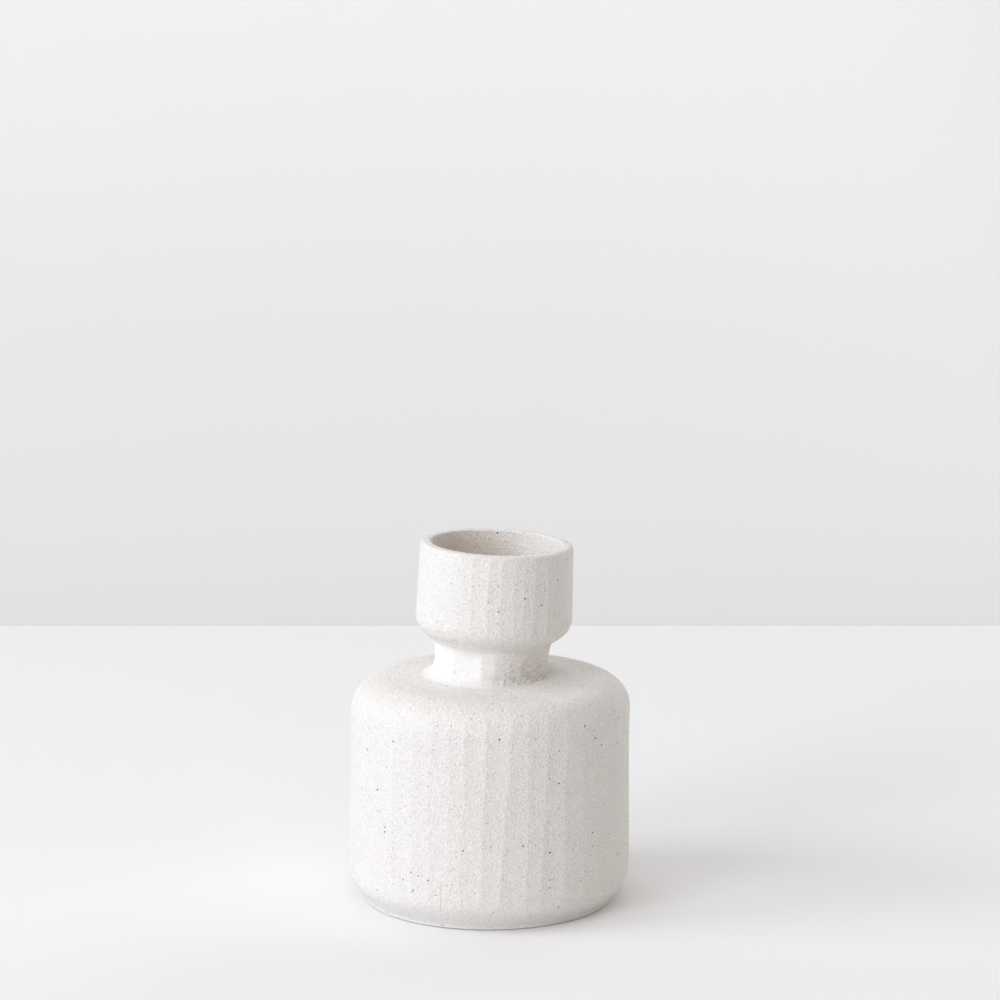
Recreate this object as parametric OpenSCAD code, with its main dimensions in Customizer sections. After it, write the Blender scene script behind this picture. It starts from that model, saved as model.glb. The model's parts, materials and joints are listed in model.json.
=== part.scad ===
// Faceted stoneware bud vase: a squat cylindrical body, a short neck and a cup-shaped collar.
// Millimetres, +Z up. The origin is the middle of the circle that the foot stands on.
// The members are the ones a potter joins while the clay is soft. Each meets the next
// face to face in a seat or rebate, and the neck and collar lean a little towards +X.

/* [Body] */
// Radius of the body just above the foot chamfer, where it is widest
body_r = 50.1; // [46:0.1:54]
// Radius of the body where the wall would meet the shoulder with no rounding
body_top_r = 49.2; // [46:0.1:54]
// Radius at which the wall turns in to the foot chamfer
body_low_round = 7.4; // [2:0.1:9]
// Radius of the cavity inside the body
cavity_r = 45.1; // [43.5:0.1:45.5]
// Height of the joint between the wall and the shoulder cap
wall_joint_z = 68; // [60:0.5:68]

/* [Foot and floor] */
// Radius of the foot's outer edge, where the chamfer would reach the table
foot_r = 43.6; // [40:0.1:45]
// Height at which the chamfer would meet the wall with no rounding
chamfer_z = 8; // [6:0.1:9]
// Height of the foot ring under the floor slab
foot_h = 3; // [2:0.1:4]
// Width of the foot ring's standing face, with the bevel
foot_w = 7; // [4:0.1:10]
// Height and width of the small bevel at the foot's outer edge
foot_bevel = 0.6; // [0.2:0.1:1]
// Thickness of the floor slab
slab_t = 6.5; // [5:0.1:8]
// Radius of the floor slab
slab_r = 43.5; // [40:0.1:43.5]
// Radius of the hollow face of the coil pressed into the corner above the slab
coil_r = 7; // [4:0.5:9]

/* [Shoulder] */
// Height at which the wall would meet the shoulder with no rounding
shoulder_z = 80.4; // [79:0.1:82]
// Radius of the shoulder's rounded edge
shoulder_round = 10.6; // [8:0.1:10.8]
// Radius of the ring where the shoulder is lowest
dish_r = 34; // [32:0.1:35]
// Height of that lowest ring
dish_z = 79.1; // [78:0.1:80]
// Radius at which the shoulder bends up out of its dish
dish_round = 25; // [5:1:25]
// Radius of the level land that carries the neck and its seam
land_r = 26.2; // [25.5:0.1:28]
// Height of that land
land_z = 80.8; // [80:0.1:82]
// Height of the shoulder's underside
under_z = 74.4; // [73:0.1:76]
// Radius of the rounded corner under the shoulder
under_round = 8; // [4:0.5:9]

/* [Neck] */
// How far the neck's axis stands off the body's axis at the land, towards +X
neck_x = 0.9; // [0:0.1:1]
// Lean of the neck and collar towards +X, in degrees
neck_tilt = 2.4; // [0:0.1:4]
// Outer radius of the neck near its base
neck_base_r = 19.5; // [19:0.1:20.5]
// Height above the land at which that radius is measured
neck_base_h = 1.4; // [1:0.1:2]
// Outer radius of the neck at the crease under the collar
neck_top_r = 20.8; // [20:0.1:22]
// Height of that crease above the land
crease_h = 12.1; // [11:0.1:13]
// Radius of the crease
crease_round = 3.5; // [1:0.1:5]
// Radius of the bore through the neck
bore_r = 15; // [13:0.1:15.5]
// Radius of the tenon that stands in the shoulder's seat
tenon_r = 18.5; // [17.5:0.1:18.8]
// Depth of that seat below the land
seat_depth = 2.4; // [1.5:0.1:3]
// Radius of the hole below the seat
hole_r = 16.5; // [16:0.1:17]

/* [Slip seam] */
// Outer radius of the slip smeared over the neck joint
seam_r = 25; // [23:0.1:25]
// Height of the seam above the land, against the neck
seam_h = 4.6; // [3:0.1:6]
// Thickness of the seam's outer edge
seam_edge = 0.35; // [0.2:0.05:0.6]
// Thickness of the seam's upper edge, against the neck
seam_lip = 0.5; // [0.4:0.05:0.8]
// Radius of the seam's hollow face
seam_round = 3; // [1:0.1:3]

/* [Collar] */
// Radius at which the collar's underside would meet its side with no rounding
collar_r = 27.7; // [26:0.1:29]
// Height of that edge above the land
collar_low_h = 17.4; // [16:0.1:19]
// Radius of that edge
collar_round = 7.3; // [3:0.1:8]
// Outer radius of the rim
rim_r = 26.9; // [26:0.1:28]
// Height of the rim above the land
rim_h = 47.2; // [40:0.1:50]
// Inner radius of the mouth at the rim
mouth_r = 23.2; // [22.9:0.1:23.5]
// Radius of the lip's rounded edges
lip_round = 1.4; // [0.5:0.1:1.4]
// Inner radius of the collar's cup near its floor
cup_r = 22.6; // [22:0.1:22.8]
// Height of the cup's floor above the land
cup_h = 16.7; // [16:0.1:17]
// Radius of the rounded corner of the cup's floor
cup_round = 4.4; // [2:0.1:4.4]
// Radius of the neck's spigot, which the collar is slipped over
spigot_r = 18.2; // [17:0.1:18.2]
// Width and height of the bevel at the top of the bore
bore_bevel = 1.5; // [0.5:0.1:2]

/* [Glaze] */
// Thickness of the glaze inside the body
glaze_t = 0.5; // [0.3:0.1:0.8]
// Radius of the opening in the glaze under the neck
glaze_open_r = 17.6; // [17.6:0.1:18]

/* [Hidden] */
$fn = 96;
// Largest turn between two points of an arc, in degrees
arc_step = 10;
floor_z = foot_h + slab_t;
seat_z = land_z - seat_depth;
// The rebate between the wall and the shoulder cap: the wall's inner half stands higher
rebate_r = (cavity_r + body_top_r) / 2;
rebate_z = wall_joint_z + 3;
// How far a cutter runs past what it cuts, and a form past the plane that trims it
past = 3;
clay = [0.93, 0.92, 0.90];
slip = [0.96, 0.95, 0.94];
glaze = [0.88, 0.87, 0.84];

// Radius of the foot chamfer and of the wall at height z
function chamfer_at(z) = foot_r + (body_r - foot_r) * z / chamfer_z;
function wall_at(z) =
    body_r + (body_top_r - body_r) * (z - chamfer_z) / (shoulder_z - chamfer_z);
// Outer radius of the neck at height h above the land
function neck_at(h) =
    neck_base_r + (neck_top_r - neck_base_r) * (h - neck_base_h) / (crease_h - neck_base_h);

// Points of the arc of radius r that rounds the corner q of the path p, q, s
function corner_arc(p, q, s, r) =
    let (
        u = (p - q) / norm(p - q),
        v = (s - q) / norm(s - q),
        half = acos(u * v) / 2,
        centre = q + (u + v) / norm(u + v) * r / sin(half),
        start = q + u * r / tan(half) - centre,
        end = q + v * r / tan(half) - centre,
        a = atan2(start[1], start[0]),
        turn = (atan2(end[1], end[0]) - a + 540) % 360 - 180,
        steps = ceil(abs(turn) / arc_step)
    )
    [for (i = [0 : steps]) centre + r * [cos(a + turn * i / steps), sin(a + turn * i / steps)]];

function xy(c) = [c[0], c[1]];

// An outline from corners [x, y, rounding radius]
function rounded(c) =
    [for (i = [0 : len(c) - 1])
        each c[i][2] == 0
            ? [xy(c[i])]
            : corner_arc(xy(c[i - 1]), xy(c[i]), xy(c[i + 1]), c[i][2])];

// A solid turned about Z from an outline of corners
module turned(corners) {
    rotate_extrude() polygon(rounded(corners));
}

// Places what is drawn about Z on the neck's leaning axis, with height 0 at the land
module on_neck() {
    translate([neck_x, 0, land_z]) rotate([0, neck_tilt, 0]) children();
}

// Everything below the level land, for trimming what leans
module below_land() {
    side = 4 * seam_r;
    translate([-side / 2, -side / 2, land_z - side]) cube(side);
}

// Outer form of the neck and collar with the collar's cup, as one turned shape with no bore
module neck_form() {
    turned([
        [0, -past, 0],
        [neck_at(-past), -past, 0],
        [neck_top_r, crease_h, crease_round],
        [collar_r, collar_low_h, collar_round],
        [rim_r, rim_h, lip_round],
        [mouth_r, rim_h, lip_round],
        [cup_r, cup_h, cup_round],
        [0, cup_h, 0]
    ]);
}

// The bore through the neck, with the bevel at its upper edge
module bore() {
    turned([
        [0, -2 * past, 0],
        [bore_r, -2 * past, 0],
        [bore_r, cup_h - bore_bevel, 0],
        [bore_r + bore_bevel, cup_h, 0],
        [bore_r + bore_bevel, cup_h + past, 0],
        [0, cup_h + past, 0]
    ]);
}

// The part of that form that is the neck: all below the crease, and the spigot above it
module neck_zone() {
    translate([0, 0, -2 * past]) cylinder(r = 2 * collar_r, h = crease_h + 2 * past);
    cylinder(r = spigot_r, h = cup_h + past);
}

// Ring under the floor that the vase stands on. Its outside is the foot of the chamfer.
module foot_ring() {
    color(clay)
        turned([
            [foot_r - foot_w, 0, 0],
            [foot_r - foot_bevel, 0, 0],
            [chamfer_at(foot_bevel), foot_bevel, 0],
            [chamfer_at(foot_h), foot_h, 0],
            [foot_r - foot_w, foot_h, 0]
        ]);
}

// Round slab that closes the body, standing on the foot ring inside the wall
module floor_slab() {
    color(clay) translate([0, 0, foot_h]) cylinder(r = slab_r, h = slab_t);
}

// Coil pressed into the inside corner, over the joint of slab and wall
module floor_coil() {
    color(clay)
        rotate_extrude()
            polygon(concat(
                corner_arc([0, floor_z], [cavity_r, floor_z], [cavity_r, under_z], coil_r),
                [[cavity_r, floor_z]]
            ));
}

// Side of the body, with the chamfer at its foot and a rebate at its top
module body_wall() {
    color(clay)
        turned([
            [slab_r, foot_h, 0],
            [chamfer_at(foot_h), foot_h, 0],
            [body_r, chamfer_z, body_low_round],
            [wall_at(wall_joint_z), wall_joint_z, 0],
            [rebate_r, wall_joint_z, 0],
            [rebate_r, rebate_z, 0],
            [cavity_r, rebate_z, 0],
            [cavity_r, floor_z, 0],
            [slab_r, floor_z, 0]
        ]);
}

// Cap over the body, with a rounded edge, a slight dish and a seat for the neck
module shoulder_cap() {
    color(clay)
        difference() {
            turned([
                [0, under_z, 0],
                [cavity_r, under_z, under_round],
                [cavity_r, rebate_z, 0],
                [rebate_r, rebate_z, 0],
                [rebate_r, wall_joint_z, 0],
                [wall_at(wall_joint_z), wall_joint_z, 0],
                [body_top_r, shoulder_z, shoulder_round],
                [dish_r, dish_z, dish_round],
                [land_r, land_z, 0],
                [0, land_z, 0]
            ]);
            translate([neck_x, 0, seat_z]) cylinder(r = tenon_r, h = seat_depth + past);
            translate([neck_x, 0, under_z - past]) cylinder(r = hole_r, h = land_z);
        }
}

// Neck with the tenon that stands in the shoulder's seat and the spigot that enters the collar
module neck_tube() {
    color(clay)
        difference() {
            union() {
                difference() {
                    on_neck()
                        intersection() {
                            neck_form();
                            neck_zone();
                        }
                    below_land();
                }
                translate([neck_x, 0, seat_z]) cylinder(r = tenon_r, h = seat_depth);
            }
            on_neck() bore();
        }
}

// Slip smeared round the foot of the neck, over its joint with the shoulder
module neck_seam() {
    color(slip)
        difference() {
            translate([neck_x, 0, land_z])
                turned([
                    [0, 0, 0],
                    [seam_r, 0, 0],
                    [seam_r, seam_edge, 0],
                    [neck_base_r + 2 * seam_lip, seam_edge + seam_lip, seam_round],
                    [neck_at(seam_h) + seam_lip, seam_h, 0],
                    [0, seam_h, 0]
                ]);
            on_neck() neck_form();
        }
}

// Cup-shaped collar, with the rim and lip, slipped over the neck's spigot
module collar() {
    color(clay)
        on_neck()
            difference() {
                neck_form();
                neck_zone();
            }
}

// Glaze over the floor, coil, wall and the underside of the shoulder
module glaze_lining() {
    color(glaze)
        turned([
            [0, floor_z, 0],
            [cavity_r, floor_z, coil_r],
            [cavity_r, under_z, under_round],
            [glaze_open_r, under_z, 0],
            [glaze_open_r, under_z - glaze_t, 0],
            [cavity_r - glaze_t, under_z - glaze_t, under_round - glaze_t],
            [cavity_r - glaze_t, floor_z + glaze_t, coil_r - glaze_t],
            [0, floor_z + glaze_t, 0]
        ]);
}

foot_ring();
floor_slab();
floor_coil();
body_wall();
shoulder_cap();
neck_tube();
neck_seam();
collar();
glaze_lining();
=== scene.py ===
"""Looks of a faceted stoneware bud vase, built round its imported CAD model.

Every CAD piece is replaced by a piece of the same shape. The wall, neck and collar are planed
into upright facets, the slip at the neck's foot is ragged, and what doesn't show is plain.
Outlines are written in millimetres, as pairs of radius and height, and meshes are in metres.
Left, right and front are as the camera sees them: left is -X, right is +X and front is -Y.
"""

import json
import math

import bpy
import numpy as np
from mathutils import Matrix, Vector, noise


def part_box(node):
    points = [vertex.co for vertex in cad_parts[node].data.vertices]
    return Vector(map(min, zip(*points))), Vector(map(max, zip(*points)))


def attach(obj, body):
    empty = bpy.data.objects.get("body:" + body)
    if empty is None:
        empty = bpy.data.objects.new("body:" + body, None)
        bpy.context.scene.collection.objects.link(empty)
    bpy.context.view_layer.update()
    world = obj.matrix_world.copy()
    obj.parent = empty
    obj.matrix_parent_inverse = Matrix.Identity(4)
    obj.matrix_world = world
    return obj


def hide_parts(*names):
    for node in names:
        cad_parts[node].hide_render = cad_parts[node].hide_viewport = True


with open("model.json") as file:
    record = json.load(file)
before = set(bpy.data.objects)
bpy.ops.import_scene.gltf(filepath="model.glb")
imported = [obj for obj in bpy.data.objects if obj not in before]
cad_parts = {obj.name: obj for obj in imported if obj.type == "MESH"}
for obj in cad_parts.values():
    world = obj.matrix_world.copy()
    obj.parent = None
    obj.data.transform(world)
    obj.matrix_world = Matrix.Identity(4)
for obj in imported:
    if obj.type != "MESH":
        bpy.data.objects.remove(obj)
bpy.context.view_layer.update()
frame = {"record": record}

MM = 0.001
BODY = "root"


# ---------------------------------------------------------------- sizes, from the frame

def box_mm(node):
    """Lowest and highest corner of a CAD node, in millimetres."""
    low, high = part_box(node)
    return np.array(low) / MM, np.array(high) / MM


def mount(name):
    """The record's mount of that name."""
    return next(m for m in frame["record"]["mounts"] if m["name"] == name)


foot_h = box_mm("foot_ring")[1][2]
floor_z = box_mm("floor_slab")[1][2]
slab_r = box_mm("floor_slab")[1][0]
coil_top = box_mm("floor_coil")[1][2]
cavity_r = box_mm("floor_coil")[1][0]
joint_z = box_mm("shoulder_cap")[0][2]
rebate_z = box_mm("body_wall")[1][2]
seat_z = box_mm("neck_tube")[0][2]
land_z = box_mm("neck_seam")[0][2]
under_z = box_mm("glaze_lining")[1][2]
bore_r = mount("neck_bore")["dims"]["r_mm"]

# The neck and collar lean: their axis passes through NECK_FOOT at the land
neck_axis = Vector(mount("neck_bore")["axis"]).normalized()
bore_middle = np.array(mount("neck_bore")["pos_m"]) / MM
NECK_FOOT = np.array([
    bore_middle[0] - neck_axis.x / neck_axis.z * (bore_middle[2] - land_z), 0.0, land_z])
NECK_TURN = np.array(Vector((0, 0, 1)).rotation_difference(neck_axis).to_matrix())


# ---------------------------------------------------------------- sizes, in millimetres

# Foot. Its outer edge is worn clear of the table, so that the vase stands a little inside it
FOOT_R = 43.6            # radius at which the chamfer would reach the table
FOOT_LIFT = 0.32         # height of the worn edge
FOOT_UNDERCUT = 1.8      # how far inside FOOT_R the vase stands
FOOT_BAND = 1.3          # up to this height the foot is trimmed upright
FOOT_BAND_ROUND = 2.5
FOOT_W = 7.0             # width of the foot ring
FOOT_BEVEL = 0.5         # bevel at the foot ring's inner edge

# Body. Its corners are where straight stretches would meet, before they are rounded
BODY_R = 50.1            # radius at the top of the chamfer, where the body is widest
CHAMFER_Z = 8.0
BODY_LOW_ROUND = 7.4
BODY_TOP_R = 49.2        # the wall tapers to this radius at the shoulder
SHOULDER_Z = 80.4
SHOULDER_ROUND = 10.6
DISH_R = 34.0            # the shoulder is lowest on this ring
DISH_Z = 79.1
DISH_ROUND = 25.0
LAND_R = 26.2            # level land that carries the neck
REBATE_R = (cavity_r + BODY_TOP_R) / 2

# Neck and collar, with heights over the land
NECK_BASE_R = 19.4
NECK_BASE_H = 0.4        # the neck's outline starts here, in the slip
NECK_TOP_R = 20.8
CREASE_H = 12.1          # crease between neck and collar
CREASE_ROUND = 2.2
COLLAR_R = 27.7
COLLAR_LOW_H = 17.4
COLLAR_ROUND = 7.3
RIM_R = 26.9
RIM_H = 47.2
LIP_ROUND = 1.4
LIP_IN_ROUND = 0.7
MOUTH_R = 23.2
CUP_R = 22.6
CUP_H = 16.7
CUP_ROUND = 4.4
SPIGOT_R = 18.2          # the neck's spigot, inside the collar
BORE_BEVEL = 1.5
TENON_R = 18.5           # the neck's tenon, in the shoulder's seat
HOLE_R = 16.5            # hole in the shoulder below that seat
CAP_ROW_R = 22.0         # a row between the land's edge and the seat, above and below

# Inside of the body
COIL_R = 7.0             # hollow of the coil in the corner of the floor
UNDER_ROUND = 8.0        # rounded corner under the shoulder
GLAZE_T = 0.5
GLAZE_OPEN_R = 17.6      # opening in the glaze under the neck
DISC_R = 12.0            # innermost row of a disc, which a fan of faces closes
DISC_MIDDLE_R = 30.0
WALL_ROWS = (50, 30)     # heights of the rows on the inside of the wall
INSIDE_STEP = 3.0        # outlines that don't show need fewer rows


# ---------------------------------------------------------------- outlines

def rounded(corners, step=0.9, arc_step=6.0):
    """Points of an outline from corners (x, y, rounding radius), none further apart than step
    and none on an arc further apart than arc_step, in degrees."""
    points = []
    for i, (x, y, radius) in enumerate(corners):
        q = np.array([x, y], float)
        if radius == 0:
            points.append(q)
            continue
        p, s = (np.array(corners[j][:2], float) for j in (i - 1, (i + 1) % len(corners)))
        u, v = (p - q) / np.linalg.norm(p - q), (s - q) / np.linalg.norm(s - q)
        half = math.acos(float(np.clip(u @ v, -1, 1))) / 2
        reach = radius / math.tan(half)
        centre = q + (u + v) / np.linalg.norm(u + v) * radius / math.sin(half)
        start, end = q + u * reach - centre, q + v * reach - centre
        first = math.atan2(start[1], start[0])
        turn = (math.atan2(end[1], end[0]) - first + math.pi) % (2 * math.pi) - math.pi
        by_turn, by_length = math.degrees(abs(turn)) / arc_step, abs(turn) * radius / step
        steps = max(2, math.ceil(by_turn), math.ceil(by_length))
        points += [centre + radius * np.array([math.cos(first + turn * k / steps),
                                               math.sin(first + turn * k / steps)])
                   for k in range(steps + 1)]
    dense = [points[0]]
    for a, b in zip(points, points[1:]):
        n = max(1, math.ceil(np.linalg.norm(b - a) / step))
        dense += [a + (b - a) * k / n for k in range(1, n + 1)]
    return np.array(dense)


def smooth(x, low, high):
    """0 below low, 1 above high, with a smooth rise between."""
    t = np.clip((np.asarray(x, float) - low) / (high - low), 0, 1)
    return t * t * (3 - 2 * t)


def between(x, low, low_full, high_full, high):
    """1 from low_full to high_full, falling smoothly to 0 at low and at high."""
    return smooth(x, low, low_full) * (1 - smooth(x, high_full, high))


def bell(x, middle, width):
    """1 at the middle, falling off to both sides over about the width."""
    return np.exp(-((x - middle) / width) ** 2)


def chamfer_at(z):
    """Radius of the chamfer round the foot at height z."""
    return FOOT_R + (BODY_R - FOOT_R) * z / CHAMFER_Z


def wall_at(z):
    """Radius of the wall, which tapers a little towards the shoulder, at height z."""
    return BODY_R + (BODY_TOP_R - BODY_R) * (z - CHAMFER_Z) / (SHOULDER_Z - CHAMFER_Z)


OUTSIDE = rounded([
    (chamfer_at(FOOT_BAND), FOOT_LIFT, 0),
    (chamfer_at(FOOT_BAND), FOOT_BAND, FOOT_BAND_ROUND),
    (chamfer_at(foot_h), foot_h, 0),
    (BODY_R, CHAMFER_Z, BODY_LOW_ROUND),
    (wall_at(joint_z), joint_z, 0),
    (BODY_TOP_R, SHOULDER_Z, SHOULDER_ROUND),
    (DISH_R, DISH_Z, DISH_ROUND),
    (LAND_R, land_z, 0)])
joint_row = int(np.argmax(OUTSIDE[:, 1] > joint_z + 0.01)) - 1

NECK_OUTSIDE = rounded([
    (NECK_BASE_R, NECK_BASE_H, 0),
    (NECK_TOP_R, CREASE_H, CREASE_ROUND),
    (COLLAR_R, COLLAR_LOW_H, COLLAR_ROUND),
    (RIM_R, RIM_H, LIP_ROUND),
    (MOUTH_R, RIM_H, LIP_IN_ROUND),
    (CUP_R, CUP_H, CUP_ROUND),
    (SPIGOT_R, CUP_H, 0)], step=0.6)
crease_row = int(np.argmax(NECK_OUTSIDE[:, 1] >= CREASE_H - 1e-6))
rim_row = int(np.argmax(NECK_OUTSIDE[:, 1]))


# ---------------------------------------------------------------- hand-worked surfaces

class Facets:
    """Upright facets planed round a wall. Each ridge sways a little as it climbs, and mesh
    columns follow the ridges, so that every facet keeps crisp edges."""

    def __init__(self, seed, count, low, high, known, hollow, uneven, per_facet):
        """known holds (angle at high, angle at low, height) of the ridges that follow the photo,
        in degrees from the front and millimetres, from left to right. The other ridges are
        random and share what is left of the turn. A hollow of 1 planes a facet flat, and a
        greater one hollows it."""
        draw = np.random.RandomState(seed)
        left = count - len(known)
        gap = 360 - (known[-1][0] - known[0][0])
        shares = draw.uniform(0.7, 1.3, left + 1)
        angles = known[-1][0] + gap * np.cumsum(shares)[:-1] / shares.sum()
        drift = draw.normal(-1.0, 1.0, left)
        ridges = list(known) + list(zip(angles, angles + drift, draw.normal(0, uneven, left)))
        self.top, self.foot = (np.radians([r[k] for r in ridges]) for k in (0, 1))
        self.height = np.array([r[2] for r in ridges])
        self.low, self.high = low, high
        self.sway = np.radians(draw.uniform(0.15, 0.55, count))
        self.phase = draw.uniform(0, 2 * math.pi, count)
        self.waves = draw.uniform(0.7, 1.8, count)
        self.hollow = hollow * draw.uniform(0.85, 1.15, count)
        self.height_phase = draw.uniform(0, 2 * math.pi, count)
        self.share = np.arange(per_facet) / per_facet

    def ridges(self, z):
        """Angle of each ridge at height z."""
        t = np.clip((z - self.low) / (self.high - self.low), 0, 1)
        sway = self.sway * np.sin(2 * math.pi * self.waves * t + self.phase)
        return self.foot + (self.top - self.foot) * t + sway

    def columns(self, z):
        """Angle of each mesh column at height z, from the front (-Y) towards +X, with the drop
        of the planed surface below the turned one, as a share of the radius."""
        ridge = self.ridges(z)
        width = (np.append(ridge[1:], ridge[0] + 2 * math.pi) - ridge)[:, None]
        angle = ridge[:, None] + width * self.share
        drop = self.hollow[:, None] * (width / 2) ** 2 / 2 * (1 - (2 * self.share - 1) ** 2)
        return angle.ravel(), drop.ravel()

    def heights(self, z):
        """Unevenness of the ridges, in millimetres, shared out over the columns."""
        at = self.height * (1 + 0.5 * np.sin(z / 11 + self.height_phase))
        after = np.roll(at, -1)
        return (at[:, None] * (1 - self.share) + after[:, None] * self.share).ravel()


def wobble(angle, z, seed, size):
    """A slow unevenness round and up a turned form, in millimetres."""
    draw = np.random.RandomState(seed)
    total = np.zeros_like(angle)
    for k in (2, 3, 5, 7):
        total += np.sin(k * angle + draw.uniform(0, 6.3) + z * draw.uniform(-0.06, 0.06)) / k
    return size * total


def on_left(angle, low, high):
    """0 to 1 from the right round to the left, as far left as low and high say: -1 is the
    rightmost point, 0 the front and back, and 1 the leftmost."""
    return smooth(-np.sin(angle), low, high)


def ring(radius, angle, z, centre_x=0.0):
    """Points round the axis at one height. Angles run from the front (-Y) towards +X."""
    radius = np.broadcast_to(radius, angle.shape)
    return np.stack([centre_x + radius * np.sin(angle), -radius * np.cos(angle),
                     np.full(angle.shape, float(z))], axis=1)


PROUD = 0.1  # how far the ridges stand out of the turned outline

BODY_FACETS = Facets(
    seed=11, count=42, low=10, high=74, hollow=1.42, uneven=0.04, per_facet=16,
    known=((-32.0, -32.3, 0), (-24.8, -24.6, 0), (-16.5, -17.0, -0.11), (-9.7, -11.8, 0),
           (-1.4, -3.4, 0), (9.0, 4.4, 0), (15.8, 15.2, 0), (23.9, 21.5, 0), (33.0, 31.2, 0),
           (41.5, 41.0, 0)))
BODY_PLANED = (8.5, 11.5, 73.5, 78.5)  # heights at which the planing fades in and out
BODY_LEAN = 0.0088                     # drift of the body's middle towards +X, per millimetre
TOP_LEAN, TOP_LEAN_Z = 0.3, (58, 76)   # and a last drift at its top, between these heights
BODY_WOBBLE, BODY_WOBBLE_SEED = 0.07, 5
WAIST, WAIST_Z = 0.12, (20, 45, 50, 72)  # a slight hollow halfway up the wall
SLUMP, SLUMP_Z, SLUMP_R = 0.45, (68, 80), (30, 42)  # a low spot on the left of the shoulder
DISH_FILL, DISH_FILL_R, DISH_FILL_W = 0.9, 34.5, 5.5  # the dish is shallower on the left


def body_lean(z):
    """How far the body's middle has drifted towards +X at height z."""
    return BODY_LEAN * max(0, z - CHAMFER_Z) + TOP_LEAN * float(smooth(z, *TOP_LEAN_Z))


def body_ring(radius, z):
    """One ring of the body's outside, planed between the chamfer and the shoulder."""
    angle, drop = BODY_FACETS.columns(z)
    planed = between(z, *BODY_PLANED)
    r = radius * (1 - drop * planed) + (PROUD + BODY_FACETS.heights(z)) * planed
    r = r + wobble(angle, z, BODY_WOBBLE_SEED, BODY_WOBBLE) * smooth(z, 3, 12)
    r = r - WAIST * between(z, *WAIST_Z)
    r = r - SLUMP * on_left(angle, 0.3, 0.9) * smooth(z, *SLUMP_Z) * smooth(radius, *SLUMP_R)
    points = ring(r, angle, z, body_lean(z))
    if z > joint_z:
        points[:, 2] += DISH_FILL * bell(radius, DISH_FILL_R, DISH_FILL_W) * on_left(angle, -0.8, 0.2)
    return points


def plain_body_ring(radius, z, centre_x=0.0):
    """A ring with the body's columns and no hand work, for hidden faces and joints."""
    angle, _ = BODY_FACETS.columns(min(max(z, 0), SHOULDER_Z))
    return ring(radius, angle, z, centre_x)


NECK_FACETS = Facets(
    seed=31, count=22, low=0, high=12, hollow=1.15, uneven=0.05, per_facet=24,
    known=((-42, -42, 0), (-10, -10, 0), (1, 5, 0), (17, 18, 0), (30, 31, 0), (46, 46, 0)))
NECK_PLANED = (0, 1.5, 8.5, 12.0)
FLARE_H, FLARE_ROUND = 7.2, 9.0  # the neck's foot is drawn out below this height on the left
FLARE_TURN = math.radians(6)     # and a little round to the right of the front

COLLAR_FACETS = Facets(
    seed=23, count=38, low=18, high=46, hollow=1.25, uneven=0.03, per_facet=16,
    known=((-26.6, -27.0, 0), (-17.8, -18.2, -0.04), (-5.0, -5.4, 0), (4.8, 4.4, 0),
           (13.6, 14.2, 0), (21.0, 21.4, 0)))
COLLAR_PLANED = (16.5, 20.5, RIM_H - 2.2, RIM_H - 0.6)
COLLAR_WOBBLE, COLLAR_WOBBLE_SEED = 0.06, 9
COLLAR_SHIFT, COLLAR_SHIFT_H = 0.12, (12, 20)  # the collar was joined off the neck's middle

CREASE_FILL = 0.45              # clay left in the crease on the left, and as much at the left front
CREASE_FILL_ANGLE = -0.3        # where it is fullest, in radians from the front
CREASE_FILL_SPREAD = 0.25       # half-width of that spot, as the sine of half an angle
CREASE_FILL_H, CREASE_FILL_W = CREASE_H + 0.8, 1.5


def on_neck(points):
    """Turns points drawn about Z, with height 0 at the land, onto the leaning axis."""
    return points @ NECK_TURN.T + NECK_FOOT


def neck_flare(angle, h):
    """How far the neck's foot was drawn out over the shoulder on the left, at height h."""
    return on_left(angle - FLARE_TURN, -0.12, 0.30) * max(0.0, FLARE_H - h) ** 2 / (2 * FLARE_ROUND)


def crease_fill(angle, h):
    """The crease under the collar is shallower on the left, and most of all at the left front."""
    spot = bell(np.sin((angle - CREASE_FILL_ANGLE) / 2), 0, CREASE_FILL_SPREAD)
    return CREASE_FILL * (on_left(angle, -0.2, 0.5) + spot) * bell(h, CREASE_FILL_H, CREASE_FILL_W)


def collar_shift(h):
    """How far the collar's middle is off the neck's at height h."""
    return COLLAR_SHIFT * float(smooth(h, *COLLAR_SHIFT_H))


def collar_wobble(angle, h):
    """The slow unevenness of the thrown collar, which starts at the crease."""
    wave = wobble(angle, h, COLLAR_WOBBLE_SEED, COLLAR_WOBBLE)
    return wave * float(smooth(h, CREASE_H, CREASE_H + 5))


def neck_ring(radius, h):
    """One ring of the neck's outside, planed between its foot and the crease."""
    angle, drop = NECK_FACETS.columns(h)
    planed = between(h, *NECK_PLANED)
    r = radius * (1 - drop * planed) + NECK_FACETS.heights(h) * planed
    r = r + neck_flare(angle, h) + crease_fill(angle, h)
    return on_neck(ring(r, angle, h, collar_shift(h)))


def plain_neck_ring(radius, h):
    """A ring with the neck's columns and no hand work."""
    return on_neck(ring(radius, NECK_FACETS.columns(h)[0], h, collar_shift(h)))


def collar_ring(radius, h):
    """One ring of the collar's outside, planed between the crease and the rim."""
    angle, drop = COLLAR_FACETS.columns(h)
    planed = between(h, *COLLAR_PLANED)
    r = radius * (1 - drop * planed) + (PROUD + COLLAR_FACETS.heights(h)) * planed
    r = r + collar_wobble(angle, h) + crease_fill(angle, h)
    return on_neck(ring(r, angle, h, collar_shift(h)))


def plain_collar_ring(radius, h):
    """A ring with the collar's columns and only the slow unevenness of a thrown form."""
    angle, _ = COLLAR_FACETS.columns(h)
    return on_neck(ring(radius + collar_wobble(angle, h), angle, h, collar_shift(h)))


# ---------------------------------------------------------------- meshes

SHARP = math.radians(38)  # edges that turn more than this stay crisp


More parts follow.
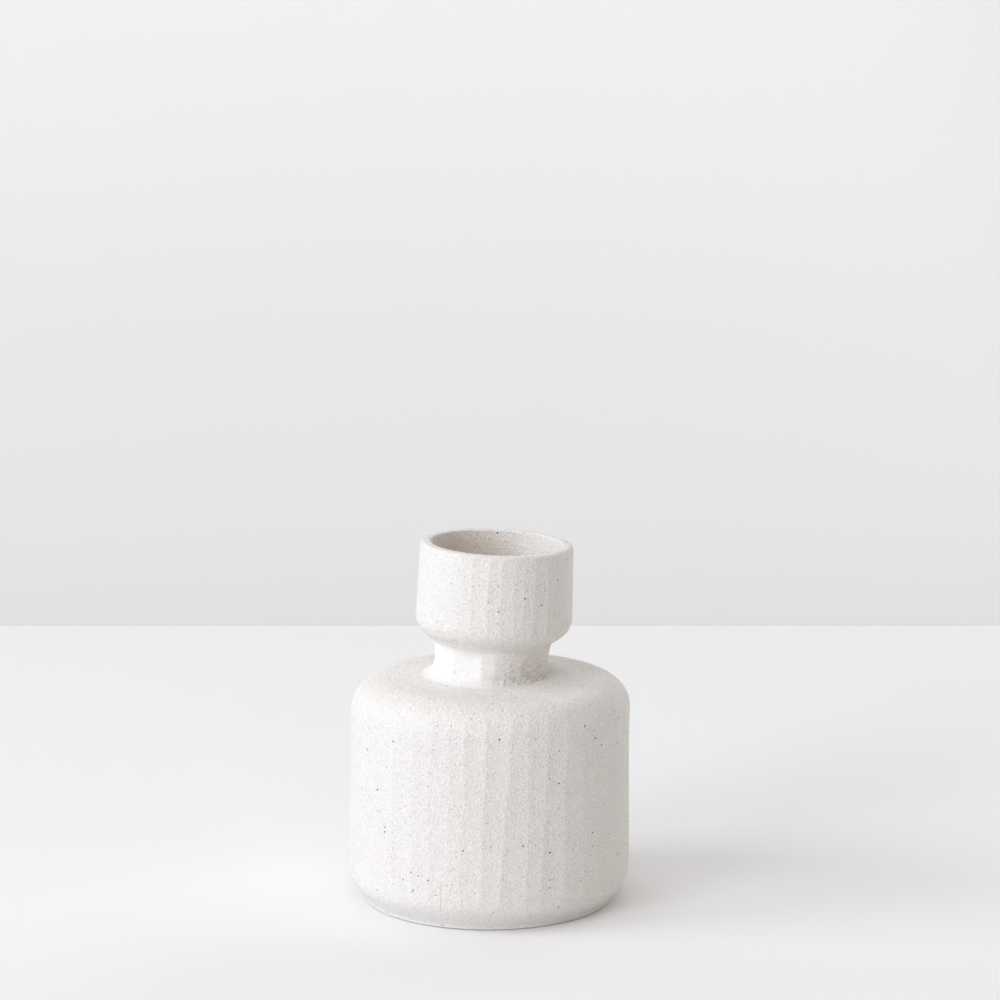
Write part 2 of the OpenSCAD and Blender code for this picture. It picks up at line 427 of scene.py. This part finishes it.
def piece_from_rings(name, rings, closed=True):
    """A solid from rings with the same number of points. A closed one joins its last ring to
    its first, and an open one is capped at both ends."""
    rings = np.array(rings)
    rows, cols, _ = rings.shape
    index = np.arange(rows * cols).reshape(rows, cols)
    spans = rows if closed else rows - 1
    faces = []
    for i in range(spans):
        a, b = index[i], index[(i + 1) % rows]
        faces += list(zip(a.tolist(), np.roll(a, -1).tolist(), np.roll(b, -1).tolist(), b.tolist()))
    points = rings.reshape(-1, 3)
    if not closed:
        tip = len(points)
        points = np.vstack([points, rings[0].mean(0), rings[-1].mean(0)])
        first, last = index[0].tolist(), index[-1].tolist()
        faces += [(first[(k + 1) % cols], first[k], tip) for k in range(cols)]
        faces += [(last[k], last[(k + 1) % cols], tip + 1) for k in range(cols)]
    mesh = bpy.data.meshes.new(name)
    mesh.from_pydata((points * MM).tolist(), [], faces)
    mesh.validate()
    mesh.shade_smooth()
    mesh.set_sharp_from_angle(angle=SHARP)
    piece = bpy.data.objects.new(name, mesh)
    bpy.context.scene.collection.objects.link(piece)
    return piece


def build_foot_ring():
    inner, stands = FOOT_R - FOOT_W, FOOT_R - FOOT_UNDERCUT
    rings = [body_ring(r, z) for r, z in OUTSIDE[OUTSIDE[:, 1] <= foot_h + 1e-6]]
    rings += [plain_body_ring(r, z) for r, z in (
        (inner, foot_h), (inner, FOOT_BEVEL), (inner + FOOT_BEVEL, 0), (stands, 0), (stands, FOOT_LIFT))]
    return piece_from_rings("foot_ring_looks", rings)


def build_floor_slab():
    radii = (DISC_R, DISC_MIDDLE_R, slab_r)
    rings = [plain_body_ring(r, foot_h) for r in radii]
    rings += [plain_body_ring(r, floor_z) for r in reversed(radii)]
    return piece_from_rings("floor_slab_looks", rings, closed=False)


def build_floor_coil():
    hollow = rounded([(slab_r - 20, floor_z, 0), (cavity_r, floor_z, COIL_R), (cavity_r, 40, 0)])
    hollow = hollow[(hollow[:, 0] >= cavity_r - COIL_R - 1e-6) & (hollow[:, 1] <= coil_top + 1e-6)]
    rings = [plain_body_ring(r, z) for r, z in hollow] + [plain_body_ring(cavity_r, floor_z)]
    return piece_from_rings("floor_coil_looks", rings)


def build_body_wall():
    side = OUTSIDE[OUTSIDE[:, 1] >= foot_h - 1e-6]
    side = side[: int(np.argmax(side[:, 1] >= joint_z - 1e-6)) + 1]
    rings = [body_ring(r, z) for r, z in side]
    rings += [plain_body_ring(r, z) for r, z in (
        (REBATE_R, joint_z), (REBATE_R, rebate_z), (cavity_r, rebate_z),
        *((cavity_r, row) for row in WALL_ROWS),
        (cavity_r, floor_z), (slab_r, floor_z), (slab_r, foot_h))]
    return piece_from_rings("body_wall_looks", rings)


def build_shoulder_cap():
    rings = [body_ring(r, z) for r, z in OUTSIDE[joint_row:]]
    rings += [plain_body_ring(r, z, NECK_FOOT[0]) for r, z in (
        (CAP_ROW_R, land_z), (TENON_R, land_z), (TENON_R, seat_z), (HOLE_R, seat_z), (HOLE_R, under_z))]
    under = rounded([(CAP_ROW_R, under_z, 0), (cavity_r, under_z, UNDER_ROUND),
                     (cavity_r, rebate_z, 0)], step=INSIDE_STEP)
    rings += [plain_body_ring(r, z) for r, z in under]
    rings += [plain_body_ring(REBATE_R, rebate_z), plain_body_ring(REBATE_R, joint_z)]
    return piece_from_rings("shoulder_cap_looks", rings)


def build_neck_tube():
    crease_h = NECK_OUTSIDE[crease_row][1]
    rings = [neck_ring(r, h) for r, h in NECK_OUTSIDE[: crease_row + 1]]
    rings += [plain_neck_ring(r, h) for r, h in (
        (SPIGOT_R, crease_h), (SPIGOT_R, CUP_H), (bore_r + BORE_BEVEL, CUP_H),
        (bore_r, CUP_H - BORE_BEVEL), (bore_r, 8), (bore_r, 0))]
    foot_angle = NECK_FACETS.columns(0)[0]
    rings += [ring(r, foot_angle, z, NECK_FOOT[0])
              for r, z in ((bore_r, seat_z), (TENON_R, seat_z), (TENON_R, land_z))]
    return piece_from_rings("neck_tube_looks", rings)


def build_collar():
    outer, inner = NECK_OUTSIDE[crease_row:rim_row + 1], NECK_OUTSIDE[rim_row + 1:]
    rings = [collar_ring(r, h) for r, h in outer] + [plain_collar_ring(r, h) for r, h in inner]
    rings += [plain_collar_ring(SPIGOT_R, NECK_OUTSIDE[crease_row][1])]
    return piece_from_rings("collar_looks", rings)


# Slip in the corner at the neck's foot, as pairs of distance from the neck and height over the land
FILLET = ((2.3, -0.9), (1.9, -0.45), (1.45, -0.1), (1.1, 0.15), (0.85, 0.4), (0.65, 0.7), (0.45, 1.1),
          (0.25, 1.6), (0.0, 2.2), (-0.6, 2.9))
SEAM_COLUMNS, SEAM_ROWS = 1100, 48
SMEAR_WIDTH = 1.9               # how much wider the fillet was smeared on the left
SMEAR_END = math.radians(13)    # the smear ends here, a little to the right of the front
SMEAR_LIP = 0.25                # ridge of slip that the smear left at its end
RAG = ((3, 0.10, 0.7), (8, 0.06, 0.0))  # waves of its width: how many round, how large, and where
CRUMB_LEFT, CRUMB_RIGHT = 0.05, 0.15    # size of the crumbs, and what the right side has more
CRUMB_OUT, CRUMB_UP = 0.7, 0.9          # shares of it that stand outward and upward
SEAM_BACK = 0.9                         # the slip reaches this far in behind the neck's face
SEAM_BACK_TOP, SEAM_BACK_LOW = 2.6, -0.9


def along(profile, count):
    """Points evenly spread along a profile, with its corners softened."""
    points = np.array(profile)
    t = np.linspace(0, len(points) - 1, count)
    line = np.stack([np.interp(t, np.arange(len(points)), points[:, k]) for k in (0, 1)], axis=1)
    for _ in range(6):
        line[1:-1] = (line[:-2] + 2 * line[1:-1] + line[2:]) / 4
    return line


def crumbs(at):
    """Grit of a millimetre and finer, over lumps of a few millimetres, about -1 to 1."""
    return noise.fractal(at * 1.1, 0.7, 2.2, 4) + 0.5 * noise.noise(at * 0.3)


def build_neck_seam():
    """A fillet that follows the neck, smeared smooth on the left and crumbly on the right."""
    angle = np.linspace(0, 2 * math.pi, SEAM_COLUMNS, endpoint=False)
    left = on_left(angle - SMEAR_END, -0.05, 0.05)
    width = 1 + (SMEAR_WIDTH - 1) * left
    for count, size, start in RAG:
        width = width + size * np.sin(count * angle + start)
    lip = SMEAR_LIP * bell(np.sin((angle - SMEAR_END) / 2), 0, 0.02)
    rough = CRUMB_LEFT + CRUMB_RIGHT * (1 - left)
    rings = []
    for out, h in along(FILLET, SEAM_ROWS):
        around = NECK_BASE_R + neck_flare(angle, h)
        around = around + np.where(out > 0, out * width + lip, out)
        lump = rough * np.array([crumbs(Vector((r * math.sin(a), -r * math.cos(a), h)))
                                 for r, a in zip(around, angle)])
        around, up = around + CRUMB_OUT * lump, land_z + h + CRUMB_UP * lump
        rings.append(np.stack([NECK_FOOT[0] + around * np.sin(angle),
                               -around * np.cos(angle), up], axis=1))
    rings += [ring(NECK_BASE_R - SEAM_BACK, angle, land_z + h, NECK_FOOT[0])
              for h in (SEAM_BACK_TOP, SEAM_BACK_LOW)]
    return piece_from_rings("neck_seam_looks", rings)


def build_glaze_lining():
    skin_r, skin_low, skin_high = cavity_r - GLAZE_T, floor_z + GLAZE_T, under_z - GLAZE_T
    skin = rounded([
        (DISC_R, skin_low, 0), (skin_r, skin_low, COIL_R - GLAZE_T),
        (skin_r, skin_high, UNDER_ROUND - GLAZE_T), (GLAZE_OPEN_R, skin_high, 0),
        (GLAZE_OPEN_R, under_z, 0), (cavity_r, under_z, UNDER_ROUND),
        (cavity_r, floor_z, COIL_R), (DISC_R, floor_z, 0)], step=INSIDE_STEP)
    rings = [plain_body_ring(r, z) for r, z in skin]
    return piece_from_rings("glaze_lining_looks", rings, closed=False)


# ---------------------------------------------------------------- materials

class Nodes:
    """Short calls for building a material's node tree."""

    def __init__(self, name):
        self.material = bpy.data.materials.new(name)
        self.material.use_nodes = True
        self.tree = self.material.node_tree
        self.tree.nodes.clear()
        self.shader = self.add("ShaderNodeBsdfPrincipled")
        self.link(self.shader, "BSDF", self.add("ShaderNodeOutputMaterial"), "Surface")
        self.where = self.add("ShaderNodeTexCoord").outputs["Object"]

    def add(self, kind, **settings):
        node = self.tree.nodes.new(kind)
        for key, value in settings.items():
            setattr(node, key, value)
        return node

    def link(self, a, out, b, into):
        self.tree.links.new(a.outputs[out], b.inputs[into])

    def plug(self, node, name, value):
        """Sets an input to a number or colour, or links a socket to it."""
        if isinstance(value, bpy.types.NodeSocket):
            self.tree.links.new(value, node.inputs[name])
        else:
            node.inputs[name].default_value = value

    def math(self, operation, a, b=0.0):
        node = self.add("ShaderNodeMath", operation=operation)
        self.plug(node, 0, a)
        self.plug(node, 1, b)
        return node.outputs[0]

    def product(self, first, *others):
        for value in others:
            first = self.math("MULTIPLY", first, value)
        return first

    def rise(self, value, low, high, to_low=0.0, to_high=1.0):
        """A smooth change from to_low to to_high as value goes from low to high."""
        node = self.add("ShaderNodeMapRange", interpolation_type="SMOOTHSTEP")
        for name, v in (("Value", value), ("From Min", low), ("From Max", high),
                        ("To Min", to_low), ("To Max", to_high)):
            self.plug(node, name, v)
        return node.outputs["Result"]

    def fall(self, value, low, high):
        """A smooth change from 1 to 0 as value goes from low to high."""
        return self.rise(value, low, high, 1.0, 0.0)

    def within(self, value, low, low_full, high_full, high):
        """1 from low_full to high_full, falling smoothly to 0 at low and at high."""
        return self.product(self.rise(value, low, low_full), self.fall(value, high_full, high))

    def place(self):
        """X, Y and Z on the object and the distance from the body's axis, in metres."""
        node = self.add("ShaderNodeSeparateXYZ")
        self.plug(node, "Vector", self.where)
        x, y, z = (node.outputs[axis] for axis in "XYZ")
        out = self.math("SQRT", self.math("ADD", self.product(x, x), self.product(y, y)))
        return x, y, z, out

    def stretched(self, x, y, z):
        """The place on the object, scaled by so much along each axis."""
        node = self.add("ShaderNodeMapping")
        self.plug(node, "Vector", self.where)
        node.inputs["Scale"].default_value = (x, y, z)
        return node.outputs["Vector"]

    def noise(self, cell_mm, detail=2.0, roughness=0.5, vector=None):
        """Noise from 0 to 1 with features about cell_mm across."""
        node = self.add("ShaderNodeTexNoise")
        self.plug(node, "Vector", vector or self.where)
        self.plug(node, "Scale", 1 / (cell_mm * MM))
        self.plug(node, "Detail", detail)
        self.plug(node, "Roughness", roughness)
        return node.outputs["Fac"]

    def specks(self, cell_mm, share, small_mm, large_mm, edge_mm):
        """Round specks in a share of the cells, from small_mm to large_mm in radius with a soft
        edge: 1 in a speck and 0 outside, and a random number that is the same all over one."""
        node = self.add("ShaderNodeTexVoronoi")
        self.plug(node, "Vector", self.where)
        self.plug(node, "Scale", 1 / (cell_mm * MM))
        chance = self.add("ShaderNodeSeparateColor")
        self.link(node, "Color", chance, "Color")
        radius = self.rise(chance.outputs["Green"], 0.0, 1.0, small_mm / cell_mm, large_mm / cell_mm)
        edge = self.math("SUBTRACT", radius, edge_mm / cell_mm)
        picked = self.math("LESS_THAN", chance.outputs["Red"], share)
        speck = self.product(self.fall(node.outputs["Distance"], edge, radius), picked)
        return speck, chance.outputs["Blue"]

    def mix(self, factor, a, b, blend="MIX"):
        node = self.add("ShaderNodeMix", data_type="RGBA", blend_type=blend)
        self.plug(node, "Factor", factor)
        for name, value in (("A", a), ("B", b)):
            socket = next(s for s in node.inputs if s.name == name and s.type == "RGBA")
            if isinstance(value, bpy.types.NodeSocket):
                self.tree.links.new(value, socket)
            else:
                socket.default_value = (*value, 1.0)
        return next(s for s in node.outputs if s.type == "RGBA")

    def bump(self, height, depth_mm, below=None):
        """The surface normal, bumped by a height of 0 to 1, over another bump if one is given."""
        node = self.add("ShaderNodeBump")
        node.inputs["Strength"].default_value = 1.0
        node.inputs["Distance"].default_value = depth_mm * MM
        self.plug(node, "Height", height)
        if below is not None:
            self.plug(node, "Normal", below)
        return node.outputs["Normal"]


def over_land(*heights):
    """Heights over the land, in millimetres, as heights over the table in metres."""
    return [(land_z + h) * MM for h in heights]


def add_sand(n, colour, shade, grain):
    """Fine sand all through the clay, in dark grains and pale ones."""
    sand = n.noise(0.50, detail=3.0, roughness=0.75)
    colour = n.mix(n.rise(sand, 0.51, 0.68, 0.0, 0.58 * grain), colour, tuple(0.72 * c for c in shade))
    return n.mix(n.rise(sand, 0.32, 0.49, 0.90 * grain, 0.0), colour, (0.925, 0.911, 0.892))


def add_specks(n, colour, grain):
    """Specks of three sizes: grit, dots and flecks. A few of the larger ones are rusty. It
    also returns where they are."""
    grit, tint = n.specks(0.85, share=0.55, small_mm=0.09, large_mm=0.25, edge_mm=0.10)
    grit_colour = n.mix(tint, (0.46, 0.42, 0.38), (0.30, 0.27, 0.24))
    colour = n.mix(n.product(grit, 0.34 * grain), colour, grit_colour)

    dots, tint = n.specks(1.6, share=0.33, small_mm=0.13, large_mm=0.30, edge_mm=0.09)
    dot_colour = n.mix(n.rise(tint, 0.86, 0.90), (0.19, 0.165, 0.145), (0.34, 0.18, 0.11))
    colour = n.mix(n.product(dots, 0.62), colour, dot_colour)

    flecks, tint = n.specks(3.0, share=0.30, small_mm=0.20, large_mm=0.46, edge_mm=0.12)
    fleck_colour = n.mix(n.rise(tint, 0.90, 0.93), (0.075, 0.068, 0.066), (0.27, 0.10, 0.06))
    colour = n.mix(n.product(flecks, 0.90), colour, fleck_colour)
    return colour, n.math("ADD", n.math("ADD", dots, flecks), grit)


def add_scraped_sand(n, colour, x, z, out):
    """Coarse sand, bared by scraping on the right of the neck's foot, and a little of it all
    over the top of the shoulder."""
    scraped = n.product(n.within(z, *over_land(-3.3, -0.8, 3.2, 11.2)),
                        n.rise(x, 0, 8 * MM), n.fall(out, 24 * MM, 34 * MM))
    shoulder = n.within(z, *over_land(-5.3, -2.3, 0.4, 1.4))
    scraped = n.math("MAXIMUM", scraped, n.product(shoulder, 0.35))
    grains = n.noise(0.85, detail=1.5, roughness=0.7)
    dark = n.product(n.rise(grains, 0.50, 0.60), scraped, 0.50)
    colour = n.mix(dark, colour, (0.50, 0.45, 0.39))
    pale = n.product(n.fall(grains, 0.38, 0.48), scraped, 0.65)
    return n.mix(pale, colour, (0.90, 0.88, 0.852))


def add_slip_and_painted_light_on_neck(n, colour, x, z, out):
    """Slip smoothed the left of the neck. Its pale colour is painted light: the lit left of the neck is
    made lighter, most near the collar, against the shade of its overhang.
    """
    slip_and_painted_light = n.product(n.within(z, *over_land(-1.8, 1.2, 11.2, 15.2)), n.fall(x, 0, 7 * MM),
                         n.math("LESS_THAN", out, 24.5 * MM))
    # painted light, stronger towards the collar, where its overhang shades the neck
    painted_light_toward_collar = n.rise(z, *over_land(2.2, 9.2), 0.50, 0.95)
    return n.mix(n.product(slip_and_painted_light, painted_light_toward_collar), colour, (0.890, 0.877, 0.862))


def add_painted_shade_in_mouth(n, colour, z, out):
    """Painted shade and painted warm bounce light inside the mouth: the clay there is darkened and
    warmed.
    """
    # painted shade and warm bounce light in the mouth's hollow
    inside = n.product(n.fall(out, 23.5 * MM, 24.5 * MM), n.within(z, *over_land(14.7, 15.7, 42.9, 46.0)))
    return n.mix(inside, colour, (0.97, 0.93, 0.885), "MULTIPLY")


TOOL_MARK_X = -16.3     # a thin upright scratch low on the front of the wall
TOOL_MARK_Z = (7, 9, 17, 19)


def add_tool_mark(n, colour, x, y, z):
    """A hairline scratch left by the planing tool, which wanders a little."""
    wander = n.product(n.math("SUBTRACT", n.noise(4.0), 0.5), 1.2 * MM)
    off = n.math("ABSOLUTE", n.math("SUBTRACT", n.math("ADD", x, wander), TOOL_MARK_X * MM))
    span = n.within(z, *(h * MM for h in TOOL_MARK_Z))
    mark = n.product(n.fall(off, 0.10 * MM, 0.20 * MM), span, n.math("LESS_THAN", y, 0.0), 0.40)
    return n.mix(mark, colour, (0.25, 0.19, 0.15))


def clay_surface(n, z, pits):
    """The clay's normal: drag marks of the tool up the planed walls, soft lumps, the grain of
    the sand, and a pit at each speck."""
    wall = n.within(z, 9 * MM, 14 * MM, 70 * MM, 77 * MM)
    collar = n.within(z, *over_land(15.2, 20.2, 43.2, 46.2))
    drag = n.noise(0.75, detail=3.0, roughness=0.55, vector=n.stretched(1.0, 1.0, 0.035))
    normal = n.bump(n.product(drag, n.math("ADD", wall, collar)), 0.045)
    normal = n.bump(n.noise(2.4, detail=3.0, roughness=0.6), 0.16, normal)
    normal = n.bump(n.noise(0.75, detail=1.5, roughness=0.6), 0.42, normal)
    return n.bump(n.math("SUBTRACT", 0.0, pits), 0.12, normal)


def clay_material(name, pale, shade, grain=1.0):
    """Matte speckled stoneware: a warm white body full of fine sand, with brown and black specks
    and, on the planed walls, the faint drag marks of the tool."""
    n = Nodes(name)
    x, y, z, out = n.place()
    patch = n.rise(n.noise(26, detail=3.0), 0.3, 0.7)
    cloud = n.rise(n.noise(3.0, detail=3.0, roughness=0.65), 0.3, 0.7)
    colour = n.mix(n.product(patch, 0.35), pale, shade)
    colour = n.mix(n.product(cloud, 0.45), colour, shade)
    colour = add_sand(n, colour, shade, grain)
    colour, pits = add_specks(n, colour, grain)
    colour = add_scraped_sand(n, colour, x, z, out)
    # painted light on the left of the neck, under the collar
    colour = add_slip_and_painted_light_on_neck(n, colour, x, z, out)
    # painted shade and warm bounce light inside the mouth
    colour = add_painted_shade_in_mouth(n, colour, z, out)
    colour = add_tool_mark(n, colour, x, y, z)
    n.plug(n.shader, "Base Color", colour)
    n.plug(n.shader, "Normal", clay_surface(n, z, pits))
    n.plug(n.shader, "Roughness", n.rise(n.noise(1.1), 0.2, 0.8, 0.72, 0.90))
    n.shader.inputs["Specular IOR Level"].default_value = 0.35
    return n.material


def glaze_material():
    """Thin satin glaze, pooled a little darker where it is thick, with the clay's specks in it."""
    n = Nodes("satin_glaze")
    pool = n.rise(n.noise(9), 0.35, 0.65)
    colour = n.mix(pool, (0.74, 0.72, 0.67), (0.66, 0.63, 0.57))
    dots, _ = n.specks(2.4, share=0.35, small_mm=0.12, large_mm=0.32, edge_mm=0.12)
    colour = n.mix(n.product(dots, 0.6), colour, (0.20, 0.16, 0.13))
    n.plug(n.shader, "Base Color", colour)
    n.plug(n.shader, "Normal", n.bump(n.noise(2.2), 0.08))
    n.plug(n.shader, "Roughness", n.rise(n.noise(5), 0.3, 0.7, 0.22, 0.36))
    return n.material


def stage_material(name, grey, roughness, glow=0.0):
    """A plain stage material. A glow stands for the light that washes over a lit wall."""
    n = Nodes(name)
    n.shader.inputs["Emission Strength"].default_value = glow
    n.shader.inputs["Emission Color"].default_value = (1, 1, 1, 1)
    tone = n.product(n.noise(60), 0.06)
    n.plug(n.shader, "Base Color", n.mix(tone, (grey, grey, grey), (0.9, 0.9, 0.9)))
    n.plug(n.shader, "Roughness", roughness)
    n.shader.inputs["Specular IOR Level"].default_value = 0.2
    return n.material


# ---------------------------------------------------------------- the vase

stoneware = clay_material("speckled_stoneware", (0.793, 0.773, 0.750), (0.755, 0.727, 0.695))
slip = clay_material("pale_slip", (0.795, 0.780, 0.760), (0.765, 0.742, 0.714), grain=0.9)
glaze = glaze_material()

for build, node, slot, material in (
        (build_foot_ring, "foot_ring", "stoneware", stoneware),
        (build_floor_slab, "floor_slab", "stoneware", stoneware),
        (build_floor_coil, "floor_coil", "stoneware", stoneware),
        (build_body_wall, "body_wall", "stoneware", stoneware),
        (build_shoulder_cap, "shoulder_cap", "stoneware", stoneware),
        (build_neck_tube, "neck_tube", "stoneware", stoneware),
        (build_neck_seam, "neck_seam", "slip", slip),
        (build_collar, "collar", "stoneware", stoneware),
        (build_glaze_lining, "glaze_lining", "glaze", glaze)):
    piece = build()
    piece.data.materials.append(material)
    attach(piece, BODY)
    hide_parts(node)


# ---------------------------------------------------------------- stage, light and camera

def stage_sheet(name, corners, material):
    """A flat stage piece from its four corners, in metres."""
    mesh = bpy.data.meshes.new(name)
    mesh.from_pydata(corners, [], [(0, 1, 2, 3)])
    mesh.materials.append(material)
    flat = bpy.data.objects.new(name, mesh)
    bpy.context.scene.collection.objects.link(flat)


TABLE_BACK = 0.438  # where the table ends behind the vase
WALL_BACK = 1.6
stage_sheet("table", [(-3, -3, 0), (3, -3, 0), (3, TABLE_BACK, 0), (-3, TABLE_BACK, 0)],
            stage_material("pale_table", 0.872, 0.75))
stage_sheet("backdrop", [(-4, WALL_BACK, -1), (4, WALL_BACK, -1), (4, WALL_BACK, 3), (-4, WALL_BACK, 3)],
            stage_material("pale_backdrop", 0.82, 0.9, glow=0.308))

LIGHT_AIM = Vector((0, 0, 0.06))


def area_light(name, azimuth, height, distance, size, power, colour):
    """A square soft light aimed at the vase. Its azimuth runs from the front towards +X and its
    height is an angle above the table, both in degrees."""
    light = bpy.data.lights.new(name, "AREA")
    light.size = size
    light.energy = power
    light.color = colour
    lamp = bpy.data.objects.new(name, light)
    turn, climb = math.radians(azimuth), math.radians(height)
    away = Vector((math.sin(turn) * math.cos(climb), -math.cos(turn) * math.cos(climb), math.sin(climb)))
    lamp.location = LIGHT_AIM + away * distance
    lamp.rotation_mode = "QUATERNION"
    lamp.rotation_quaternion = away.to_track_quat("Z", "Y")
    lamp.visible_camera = False
    bpy.context.scene.collection.objects.link(lamp)


def sky(colour, strength):
    """An even, weak light from all round."""
    world = bpy.data.worlds.new("studio")
    world.use_nodes = True
    background = world.node_tree.nodes["Background"]
    background.inputs["Color"].default_value = (*colour, 1)
    background.inputs["Strength"].default_value = strength
    bpy.context.scene.world = world


# Powers and colours were fitted to the tones of the photograph
area_light("side_window", azimuth=-82, height=32, distance=3.0, size=1.4, power=34.9,
           colour=(0.984, 1.0, 1.041))
area_light("front_window", azimuth=-45, height=20, distance=3.0, size=1.4, power=37.5,
           colour=(0.946, 0.999, 1.047))
area_light("front_card", azimuth=0, height=30, distance=3.0, size=2.4, power=13.6,
           colour=(1.018, 0.992, 1.0))
area_light("side_card", azimuth=62, height=10, distance=3.0, size=2.4, power=11.5,
           colour=(1.157, 0.944, 0.728))
area_light("back_card", azimuth=137, height=12, distance=1.5, size=1.2, power=7.1,
           colour=(0.957, 1.0, 0.997))
area_light("top_card", azimuth=-18, height=76, distance=1.5, size=1.5, power=8.1,
           colour=(1.045, 0.994, 1.011))
sky((1.0, 0.965, 0.945), 0.08)

# The photograph's viewing angle: a long lens a little above the vase, tilted down at it
EYE = (0.00405, -1.1326, 0.3505)
EYE_TILT = 10.38  # degrees below level
camera = bpy.data.cameras.new("camera")
camera.sensor_width = 36
camera.lens = 118.1
eye = bpy.data.objects.new("camera", camera)
eye.location = EYE
eye.rotation_euler = (math.radians(90 - EYE_TILT), 0, 0)
bpy.context.scene.collection.objects.link(eye)
bpy.context.scene.camera = eye

bpy.context.scene.view_settings.view_transform = "Standard"
bpy.context.scene.view_settings.look = "None"
